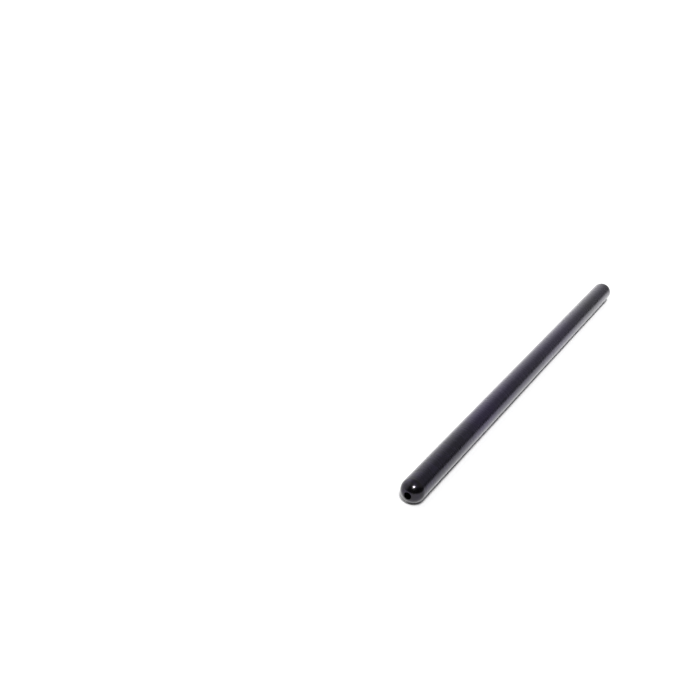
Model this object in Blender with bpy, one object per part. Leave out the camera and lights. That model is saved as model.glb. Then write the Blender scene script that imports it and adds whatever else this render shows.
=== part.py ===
"""One-piece engine pushrod: a steel tube whose two ends are formed into oil-drilled balls.

The rod lies along X with the bottom of the tube on Z = 0, and its middle is over the origin.
Both ends are the same. Each is a ball that wraps a little past its own equator, to a faint neck
where the tube begins. The bore runs the length of the tube and closes inside each ball to the
oil hole at the tip. All lengths are in metres.
"""

from math import asin, cos, pi, radians, sin, sqrt, tan

import bmesh
import bpy

# Driving dimensions: the spacing is between the centres of the balls, and the slope is the steepest
BALL_SPACING = 0.190461
TUBE_DIAMETER = 0.0079375
TUBE_WALL = 0.002032
BALL_DIAMETER = 0.0079375
NECK_DEPTH = 0.000015
SHOULDER_SLOPE = radians(2)
OIL_HOLE_DIAMETER = 0.00238125
EDGE_BREAK = 0.0001
THROAT_LENGTH = 0.0026

# Fineness of the turned surface
SIDES = 48
BALL_STEPS = 14
SHOULDER_STEPS = 4
THROAT_STEPS = 5

# Black oxide on hardened steel
OXIDE_COLOUR = (0.050, 0.045, 0.065, 1.0)
OXIDE_METALLIC = 1.0
OXIDE_ROUGHNESS = 0.25

# Sizes that follow from the driving dimensions
TUBE_RADIUS = TUBE_DIAMETER / 2
BORE_RADIUS = TUBE_RADIUS - TUBE_WALL
BALL_RADIUS = BALL_DIAMETER / 2
HOLE_RADIUS = OIL_HOLE_DIAMETER / 2
MOUTH_RADIUS = HOLE_RADIUS + EDGE_BREAK
NECK_RADIUS = min(TUBE_RADIUS, BALL_RADIUS) - NECK_DEPTH
AXIS_HEIGHT = max(TUBE_RADIUS, BALL_RADIUS)
BALL_CENTRE = BALL_SPACING / 2
TIP = BALL_CENTRE + sqrt(BALL_RADIUS**2 - MOUTH_RADIUS**2)


def clear_scene():
    for obj in list(bpy.data.objects):
        bpy.data.objects.remove(obj)


def outer_end():
    """The outside of one end: the ball from the oil hole to the neck, and a soft shoulder to the tube."""
    mouth_angle = asin(MOUTH_RADIUS / BALL_RADIUS)
    neck_angle = pi - asin(NECK_RADIUS / BALL_RADIUS)
    sweep = neck_angle - mouth_angle
    angles = [mouth_angle + sweep * i / BALL_STEPS for i in range(BALL_STEPS + 1)]
    ball = [(BALL_CENTRE + BALL_RADIUS * cos(a), BALL_RADIUS * sin(a)) for a in angles]
    neck_x = BALL_CENTRE + BALL_RADIUS * cos(neck_angle)
    rise = TUBE_RADIUS - NECK_RADIUS
    run = rise * pi / 2 / tan(SHOULDER_SLOPE)
    shares = [i / SHOULDER_STEPS for i in range(1, SHOULDER_STEPS + 1)]
    shoulder = [(neck_x - run * s, NECK_RADIUS + rise * (1 - cos(pi * s)) / 2) for s in shares]
    return ball + shoulder


def inner_end():
    """The inside of one end: the bore closes from the ball's centre on, and the oil hole follows."""
    closing = BORE_RADIUS - HOLE_RADIUS
    turns = [pi / 2 * i / THROAT_STEPS for i in range(THROAT_STEPS + 1)]
    throat = [(BALL_CENTRE + THROAT_LENGTH * sin(a), HOLE_RADIUS + closing * cos(a)) for a in turns]
    return throat + [(TIP - EDGE_BREAK, HOLE_RADIUS)]


def mirrored(points):
    """The same stretch of profile on the other end of the rod, in the opposite order."""
    return [(-x, r) for x, r in reversed(points)]


def rod_profile():
    """The closed section (x, r): along the outside from one tip to the other, and back through the bore."""
    return outer_end() + mirrored(outer_end()) + mirrored(inner_end()) + inner_end()


def turned_mesh(name, profile, axis_height):
    """The profile turned about a line along X at the given height."""
    bm = bmesh.new()
    rings = []
    for x, r in profile:
        turns = [2 * pi * k / SIDES for k in range(SIDES)]
        rings.append([bm.verts.new((x, r * cos(a), axis_height + r * sin(a))) for a in turns])
    for ring, following in zip(rings, rings[1:] + rings[:1]):
        for k in range(SIDES):
            n = (k + 1) % SIDES
            bm.faces.new((ring[k], ring[n], following[n], following[k]))
    bmesh.ops.recalc_face_normals(bm, faces=bm.faces)
    mesh = bpy.data.meshes.new(name)
    bm.to_mesh(mesh)
    bm.free()
    mesh.shade_smooth()
    mesh.set_sharp_from_angle(angle=radians(40))
    return mesh


def oxide_finish():
    material = bpy.data.materials.new("black_oxide_steel")
    material.use_nodes = True
    shader = material.node_tree.nodes["Principled BSDF"]
    shader.inputs["Base Color"].default_value = OXIDE_COLOUR
    shader.inputs["Metallic"].default_value = OXIDE_METALLIC
    shader.inputs["Roughness"].default_value = OXIDE_ROUGHNESS
    material.diffuse_color = OXIDE_COLOUR
    return material


def build_pushrod():
    mesh = turned_mesh("pushrod", rod_profile(), AXIS_HEIGHT)
    mesh.materials.append(oxide_finish())
    rod = bpy.data.objects.new("pushrod", mesh)
    bpy.context.scene.collection.objects.link(rod)
    return rod


clear_scene()
build_pushrod()
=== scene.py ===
"""Studio scene of a one-piece engine pushrod in black oxide steel, lying on a white floor.

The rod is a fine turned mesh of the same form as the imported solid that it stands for: a tube with
a formed ball on each end, a bore through its length and an oil hole through each ball. All lengths
are in metres, in the frame's own axes: X along the rod, Z up, and the floor at Z = 0.
"""

from math import asin, cos, pi, radians, sin, sqrt, tan

import bmesh
import bpy
from mathutils import Matrix, Vector


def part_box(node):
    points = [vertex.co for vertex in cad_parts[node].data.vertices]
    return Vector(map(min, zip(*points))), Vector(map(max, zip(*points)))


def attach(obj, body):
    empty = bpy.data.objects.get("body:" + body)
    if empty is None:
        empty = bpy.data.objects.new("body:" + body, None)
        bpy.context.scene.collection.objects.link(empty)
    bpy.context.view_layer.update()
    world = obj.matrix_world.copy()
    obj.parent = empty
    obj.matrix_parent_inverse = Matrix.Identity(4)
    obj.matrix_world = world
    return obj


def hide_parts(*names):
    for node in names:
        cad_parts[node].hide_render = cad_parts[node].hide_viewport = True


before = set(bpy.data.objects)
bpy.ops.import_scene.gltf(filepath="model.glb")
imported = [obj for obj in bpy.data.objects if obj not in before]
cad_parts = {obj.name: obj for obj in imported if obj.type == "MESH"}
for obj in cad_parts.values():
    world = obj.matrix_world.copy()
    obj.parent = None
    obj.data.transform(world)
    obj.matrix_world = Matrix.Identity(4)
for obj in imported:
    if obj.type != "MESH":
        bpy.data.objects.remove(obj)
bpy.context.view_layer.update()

rod_low, rod_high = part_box("pushrod")

# Sizes taken from the frame
TIP = rod_high.x
TUBE_RADIUS = (rod_high.z - rod_low.z) / 2
AXIS_HEIGHT = (rod_high.z + rod_low.z) / 2

# Driving dimensions of the ends, as the solid has them
TUBE_WALL = 0.002032
BALL_RADIUS = TUBE_RADIUS
NECK_DEPTH = 0.000015
SHOULDER_SLOPE = radians(2)
OIL_HOLE_DIAMETER = 0.00238125
EDGE_BREAK = 0.0001
THROAT_LENGTH = 0.0026

BORE_RADIUS = TUBE_RADIUS - TUBE_WALL
HOLE_RADIUS = OIL_HOLE_DIAMETER / 2
MOUTH_RADIUS = HOLE_RADIUS + EDGE_BREAK
NECK_RADIUS = TUBE_RADIUS - NECK_DEPTH
BALL_CENTRE = TIP - sqrt(BALL_RADIUS**2 - MOUTH_RADIUS**2)
MOUTH_ANGLE = asin(MOUTH_RADIUS / BALL_RADIUS)
NECK_ANGLE = pi - asin(NECK_RADIUS / BALL_RADIUS)
NECK_X = BALL_CENTRE + BALL_RADIUS * cos(NECK_ANGLE)
SHOULDER_LENGTH = NECK_DEPTH * pi / 2 / tan(SHOULDER_SLOPE)
TUBE_START = NECK_X - SHOULDER_LENGTH

# Fineness of the turned mesh
SIDES = 192
THROAT_STEPS = 16
EDGE_STEPS = 6
BALL_STEPS = 56
SHOULDER_STEPS = 16
TUBE_STEPS = 32
SHARP_ANGLE = radians(40)

# Black oxide: the plain and the more violet tone of tube and balls, and where it is thin or worn
TUBE_TONES = ((0.028, 0.025, 0.040, 1), (0.035, 0.023, 0.070, 1))
BALL_TONES = ((0.033, 0.031, 0.035, 1), (0.037, 0.033, 0.042, 1))
THIN_OXIDE = (0.048, 0.040, 0.084, 1)
THIN_SHARE = 0.35
WORN_STEEL = (0.10, 0.09, 0.11, 1)
WORN_SHARE = 0.15
WORN_WIDTH = 0.00025
TUBE_ROUGHNESS = 0.27
BALL_ROUGHNESS = 0.20
UNEVEN_ROUGHNESS = 0.02
BLEND_WIDTH = 0.0009

# The clear film of oil that seals the oxide, set to reflect less than a full coat of oil would
FILM_IOR = 1.15
FILM_ROUGHNESS = 0.22

# Marks of the blackening and of the grinding: scales and cells are counts per metre, a span is the stretch
# of a noise's value over which its mark comes in, and the shift moves the clouds along the rod
MOTTLE = {"scale": 260.0, "detail": 4.0, "rough": 0.6}
CLOUD_SCALE = 24.0
CLOUD_SHIFT = (0.52, 0.0, 0.0)
CLOUD_SPAN = (0.35, 0.65)
THIN_SPAN = (0.55, 0.8)
WORN_SPAN = (0.35, 0.6)
UNEVEN_SPAN = (0.3, 0.7)
RING_CELLS = (1300.0, 300.0, 300.0)
RING_GRAIN = {"scale": 1.0, "detail": 3.0, "rough": 0.45}
RING_SPAN = (0.4, 0.7)
FINE_RING_CELLS = (7000.0, 200.0, 200.0)
FINE_RING_SHARE = 0.02
RING_HEIGHT = 0.00004
RINGS_ON_BALL = 0.1
RING_SHADE = 0.5

# The inside of the tube
BORE_TONES = ((0.030, 0.027, 0.036, 1), (0.060, 0.054, 0.070, 1))
BORE_ROUGHNESS = (0.34, 0.46)
STREAK_CELLS = (30.0, 2600.0, 2600.0)
STREAK_GRAIN = {"scale": 1.0, "detail": 3.0, "rough": 0.5}
STREAK_SPAN = (0.3, 0.7)
STREAK_HEIGHT = 0.000003

# The camera at the photograph's viewing angle: where it stands, where it looks and its lens
CAMERA_PLACE = Vector((-0.30586, -0.07897, 0.17239))
CAMERA_HEADING = radians(26.926)
CAMERA_DIP = radians(28.994)
CAMERA_ROLL = radians(8.307)
CAMERA_LENS_MM = 47.285
CAMERA_SENSOR_MM = 36.0
CLIP_START = 0.01

# Studio: directions are degrees to the left of the camera's heading, and degrees above the horizon. A glow
# is full within one angle of its middle and gone beyond the other, and the white of the horizon fades out
# between its two heights.
FLOOR_REACH = 8.0
FLOOR_SEGMENTS = 96
FLOOR_WHITE = 0.93
FLOOR_ROUGHNESS = 0.9
KEY_DIRECTION = (175.4, 61.8)
KEY_WIDTH = radians(14)
KEY_STRENGTH = 3.2
BACKDROP_GLOW = {"middle": (19, -1), "full": 17, "none": 63, "strength": 0.7}
OVERHEAD_GLOW = {"middle": (-12, 59), "full": 46, "none": 65, "strength": 0.32}
LEFT_GLOW = {"middle": (67, 19), "full": 20, "none": 54, "strength": 0.9}
DIM_ROOM = 0.07
HORIZON = (-1, 6)
WHITE = (1, 1, 1, 1)


def arc(centre, size, start, end, steps):
    """Points (x, r) on an ellipse: its centre, its half sizes along x and r, and the angles from +x."""
    angles = [start + (end - start) * i / steps for i in range(steps + 1)]
    return [(centre[0] + size[0] * cos(a), centre[1] + size[1] * sin(a)) for a in angles]


def end_inside():
    """From the full bore, where it starts to close, to the wall of the oil hole just short of its mouth."""
    closing = BORE_RADIUS - HOLE_RADIUS
    return arc((BALL_CENTRE, HOLE_RADIUS), (THROAT_LENGTH, closing), pi / 2, 0, THROAT_STEPS)


def end_outside():
    """From the rounded mouth of the oil hole over the ball to the neck, and up the soft shoulder."""
    mouth = arc((TIP - EDGE_BREAK, MOUTH_RADIUS), (EDGE_BREAK, EDGE_BREAK), -pi / 2, 0, EDGE_STEPS)
    ball = arc((BALL_CENTRE, 0), (BALL_RADIUS, BALL_RADIUS), MOUTH_ANGLE, NECK_ANGLE, BALL_STEPS)
    shares = [i / SHOULDER_STEPS for i in range(1, SHOULDER_STEPS + 1)]
    rises = [NECK_DEPTH * (1 - cos(pi * share)) / 2 for share in shares]
    shoulder = [(NECK_X - SHOULDER_LENGTH * s, NECK_RADIUS + rise) for s, rise in zip(shares, rises)]
    return mouth[:-1] + ball + shoulder


def mirrored(points):
    """The same stretch of section on the other end of the rod, in the opposite order."""
    return [(-x, r) for x, r in reversed(points)]


def between(a, b, steps):
    """The points strictly between two points, evenly spaced."""
    shares = [i / steps for i in range(1, steps)]
    return [(a[0] + (b[0] - a[0]) * s, a[1] + (b[1] - a[1]) * s) for s in shares]


def turned_mesh(name, outside, inside):
    """The closed section turned about the rod's axis. Its inside takes the second material."""
    bm = bmesh.new()
    rings = []
    for x, r in outside + inside:
        turns = [2 * pi * k / SIDES for k in range(SIDES)]
        rings.append([bm.verts.new((x, r * cos(a), AXIS_HEIGHT + r * sin(a))) for a in turns])
    for i, ring in enumerate(rings):
        following = rings[(i + 1) % len(rings)]
        for k in range(SIDES):
            n = (k + 1) % SIDES
            face = bm.faces.new((ring[k], ring[n], following[n], following[k]))
            face.material_index = int(i >= len(outside))
    bmesh.ops.recalc_face_normals(bm, faces=bm.faces)
    mesh = bpy.data.meshes.new(name)
    bm.to_mesh(mesh)
    bm.free()
    mesh.shade_smooth()
    mesh.set_sharp_from_angle(angle=SHARP_ANGLE)
    return mesh


def make_rod():
    """The section runs along the outside from +X to -X, and back through the bore."""
    end = end_outside()
    tube = between(end[-1], mirrored(end)[0], TUBE_STEPS)
    outside = end + tube + mirrored(end)
    bore_end = end_inside()
    bore = between(mirrored(bore_end)[-1], bore_end[0], TUBE_STEPS)
    inside = mirrored(bore_end) + bore + bore_end
    rod = bpy.data.objects.new("rod_finished", turned_mesh("rod_finished", outside, inside))
    bpy.context.scene.collection.objects.link(rod)
    return rod


class Nodes:
    """A short way to build a node tree: each call adds one node and gives one of its outputs."""

    def __init__(self, tree):
        self.tree = tree

    def put(self, socket, value):
        """Links the socket to another node's output, or sets it to a plain value."""
        if isinstance(value, bpy.types.NodeSocket):
            self.tree.links.new(value, socket)
        else:
            socket.default_value = value

    def add(self, kind, values=(), settings=(), output=0):
        node = self.tree.nodes.new(kind)
        for key, value in dict(settings).items():
            setattr(node, key, value)
        for key, value in dict(values).items():
            self.put(node.inputs[key], value)
        return node.outputs[output]

    def math(self, operation, a, b=0.0):
        return self.add("ShaderNodeMath", {0: a, 1: b}, {"operation": operation})

    def ramp(self, value, low, high, start=0.0, end=1.0):
        """A smooth step: start where value is at or below low, end where it is at or above high."""
        inputs = {"Value": value, "From Min": low, "From Max": high, "To Min": start, "To Max": end}
        return self.add("ShaderNodeMapRange", inputs, {"interpolation_type": "SMOOTHSTEP"})

    def noise(self, place, scale, detail=2.0, rough=0.5):
        inputs = {"Vector": place, "Scale": scale, "Detail": detail, "Roughness": rough}
        return self.add("ShaderNodeTexNoise", inputs)

    def stretched(self, place, scale):
        return self.add("ShaderNodeVectorMath", {0: place, 1: scale}, {"operation": "MULTIPLY"})

    def mix(self, share, a, b):
        """Colour a where the share is 0, and colour b where it is 1."""
        inputs = {"Factor": share, "A": a, "B": b}
        node = self.tree.nodes.new("ShaderNodeMix")
        node.data_type = "RGBA"
        for socket in node.inputs:
            if socket.enabled and socket.name in inputs:
                self.put(socket, inputs[socket.name])
        return next(socket for socket in node.outputs if socket.enabled)


def new_material(name):
    """An empty material with one Principled shader: (material, nodes, shader)."""
    material = bpy.data.materials.new(name)
    material.use_nodes = True
    return material, Nodes(material.node_tree), material.node_tree.nodes["Principled BSDF"]


def black_oxide():
    """Black oxide on ground steel: ring marks, a faintly mottled violet black, a film of oil."""
    material, nodes, shader = new_material("black_oxide_steel")
    place = nodes.add("ShaderNodeTexCoord", output="Object")
    along = nodes.add("ShaderNodeSeparateXYZ", {0: place}, output="X")
    from_middle = nodes.math("ABSOLUTE", along)
    on_ball = nodes.ramp(from_middle, NECK_X - BLEND_WIDTH, NECK_X + BLEND_WIDTH)

    mottle = nodes.noise(place, **MOTTLE)
    shifted = nodes.add("ShaderNodeVectorMath", {0: place, 1: CLOUD_SHIFT}, {"operation": "ADD"})
    cloud = nodes.ramp(nodes.noise(shifted, CLOUD_SCALE), *CLOUD_SPAN)
    coarse_rings = nodes.noise(nodes.stretched(place, RING_CELLS), **RING_GRAIN)
    fine_rings = nodes.noise(nodes.stretched(place, FINE_RING_CELLS), 1.0)

    colour = nodes.mix(on_ball, nodes.mix(cloud, *TUBE_TONES), nodes.mix(cloud, *BALL_TONES))
    thin = nodes.ramp(mottle, *THIN_SPAN, 0.0, THIN_SHARE)
    ring_marks = nodes.ramp(coarse_rings, *RING_SPAN, 0.0, RING_SHADE)
    colour = nodes.mix(nodes.math("ADD", thin, ring_marks), colour, THIN_OXIDE)
    from_edge = nodes.math("ABSOLUTE", nodes.math("SUBTRACT", from_middle, TUBE_START))
    near_edge = nodes.ramp(from_edge, 0.0, WORN_WIDTH, WORN_SHARE, 0.0)
    worn = nodes.math("MULTIPLY", near_edge, nodes.ramp(mottle, *WORN_SPAN))
    nodes.put(shader.inputs["Base Color"], nodes.mix(worn, colour, WORN_STEEL))

    shader.inputs["Metallic"].default_value = 1.0
    shader.inputs["Coat Weight"].default_value = 1.0
    shader.inputs["Coat IOR"].default_value = FILM_IOR
    shader.inputs["Coat Roughness"].default_value = FILM_ROUGHNESS
    polish = nodes.ramp(on_ball, 0.0, 1.0, TUBE_ROUGHNESS, BALL_ROUGHNESS)
    uneven = nodes.ramp(mottle, *UNEVEN_SPAN, -UNEVEN_ROUGHNESS, UNEVEN_ROUGHNESS)
    ringed = nodes.ramp(coarse_rings, *UNEVEN_SPAN, -UNEVEN_ROUGHNESS, UNEVEN_ROUGHNESS)
    nodes.put(shader.inputs["Roughness"], nodes.math("ADD", polish, nodes.math("ADD", uneven, ringed)))

    on_tube = nodes.ramp(on_ball, 0.0, 1.0, 1.0, RINGS_ON_BALL)
    rings = nodes.math("ADD", coarse_rings, nodes.math("MULTIPLY", fine_rings, FINE_RING_SHARE))
    height = nodes.math("MULTIPLY", rings, on_tube)
    bump = nodes.add("ShaderNodeBump", {"Height": height, "Strength": 1.0, "Distance": RING_HEIGHT})
    nodes.put(shader.inputs["Normal"], bump)
    nodes.put(shader.inputs["Coat Normal"], bump)
    return material


def dark_bore():
    """The drawn inside of the tube: lengthwise marks under a dull, oily black."""
    material, nodes, shader = new_material("dark_bore_steel")
    place = nodes.add("ShaderNodeTexCoord", output="Object")
    streaks = nodes.noise(nodes.stretched(place, STREAK_CELLS), **STREAK_GRAIN)
    share = nodes.ramp(streaks, *STREAK_SPAN)
    nodes.put(shader.inputs["Base Color"], nodes.mix(share, *BORE_TONES))
    shader.inputs["Metallic"].default_value = 1.0
    nodes.put(shader.inputs["Roughness"], nodes.ramp(streaks, *STREAK_SPAN, *BORE_ROUGHNESS))
    bump = nodes.add("ShaderNodeBump", {"Height": streaks, "Strength": 1.0, "Distance": STREAK_HEIGHT})
    nodes.put(shader.inputs["Normal"], bump)
    return material


def make_floor():
    """A wide white disc for the rod to lie on."""
    bm = bmesh.new()
    bmesh.ops.create_circle(bm, cap_ends=True, segments=FLOOR_SEGMENTS, radius=FLOOR_REACH)
    mesh = bpy.data.meshes.new("studio_floor")
    bm.to_mesh(mesh)
    bm.free()
    material, _, shader = new_material("white_floor")
    shader.inputs["Base Color"].default_value = (FLOOR_WHITE, FLOOR_WHITE, FLOOR_WHITE, 1)
    shader.inputs["Roughness"].default_value = FLOOR_ROUGHNESS
    shader.inputs["Specular IOR Level"].default_value = 0.0
    mesh.materials.append(material)
    floor = bpy.data.objects.new("studio_floor", mesh)
    bpy.context.scene.collection.objects.link(floor)


def direction(heading, height):
    """The unit vector at a heading left of the camera's own and a height over the horizon, in degrees."""
    turn = CAMERA_HEADING + radians(heading)
    level = cos(radians(height))
    return Vector((cos(turn) * level, sin(turn) * level, sin(radians(height))))


def make_key():
    """A soft key light above and behind the camera, far enough off to light the whole floor alike."""
    light = bpy.data.lights.new("key_light", "SUN")
    light.energy = KEY_STRENGTH
    light.angle = KEY_WIDTH
    key = bpy.data.objects.new("key_light", light)
    key.location = direction(*KEY_DIRECTION)
    key.rotation_euler = key.location.to_track_quat("Z", "Y").to_euler()
    bpy.context.scene.collection.objects.link(key)


def glow(nodes, way, middle, full, none, strength):
    """A soft-edged pale area: full strength within one angle of its middle, and none beyond the other."""
    inputs = {0: way, 1: direction(*middle)}
    closeness = nodes.add("ShaderNodeVectorMath", inputs, {"operation": "DOT_PRODUCT"}, output="Value")
    return nodes.ramp(closeness, cos(radians(none)), cos(radians(full)), 0.0, strength)


def make_world():
    """The studio: white up to the horizon, pale ahead, overhead and at the left, and dim elsewhere."""
    world = bpy.data.worlds.new("studio")
    world.use_nodes = True
    nodes = Nodes(world.node_tree)
    way = nodes.add("ShaderNodeTexCoord", output="Generated")
    height = nodes.add("ShaderNodeSeparateXYZ", {0: way}, output="Z")
    light = nodes.math("ADD", glow(nodes, way, **BACKDROP_GLOW), glow(nodes, way, **OVERHEAD_GLOW))
    light = nodes.math("ADD", light, glow(nodes, way, **LEFT_GLOW))
    light = nodes.math("ADD", light, DIM_ROOM)
    low, high = HORIZON
    above_horizon = nodes.ramp(height, sin(radians(low)), sin(radians(high)))
    grey = nodes.add("ShaderNodeCombineColor", {0: light, 1: light, 2: light})
    room = nodes.mix(above_horizon, WHITE, grey)
    seen_directly = nodes.add("ShaderNodeLightPath", output="Is Camera Ray")
    background = world.node_tree.nodes["Background"]
    nodes.put(background.inputs["Color"], nodes.mix(seen_directly, room, WHITE))
    bpy.context.scene.world = world


def make_camera():
    """The camera starts out facing straight down, and is rolled, raised and turned to its heading."""
    data = bpy.data.cameras.new("camera")
    data.lens = CAMERA_LENS_MM
    data.sensor_width = CAMERA_SENSOR_MM
    data.clip_start = CLIP_START
    data.clip_end = 2 * FLOOR_REACH
    camera = bpy.data.objects.new("camera", data)
    turn = Matrix.Rotation(CAMERA_HEADING - pi / 2, 4, "Z")
    dip = Matrix.Rotation(pi / 2 - CAMERA_DIP, 4, "X")
    roll = Matrix.Rotation(CAMERA_ROLL, 4, "Z")
    camera.matrix_world = Matrix.Translation(CAMERA_PLACE) @ turn @ dip @ roll
    bpy.context.scene.collection.objects.link(camera)
    bpy.context.scene.camera = camera


rod = make_rod()
rod.data.materials.append(black_oxide())
rod.data.materials.append(dark_bore())
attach(rod, "root")
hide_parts("pushrod")
make_floor()
make_key()
make_world()
make_camera()
bpy.context.scene.view_settings.view_transform = "Standard"
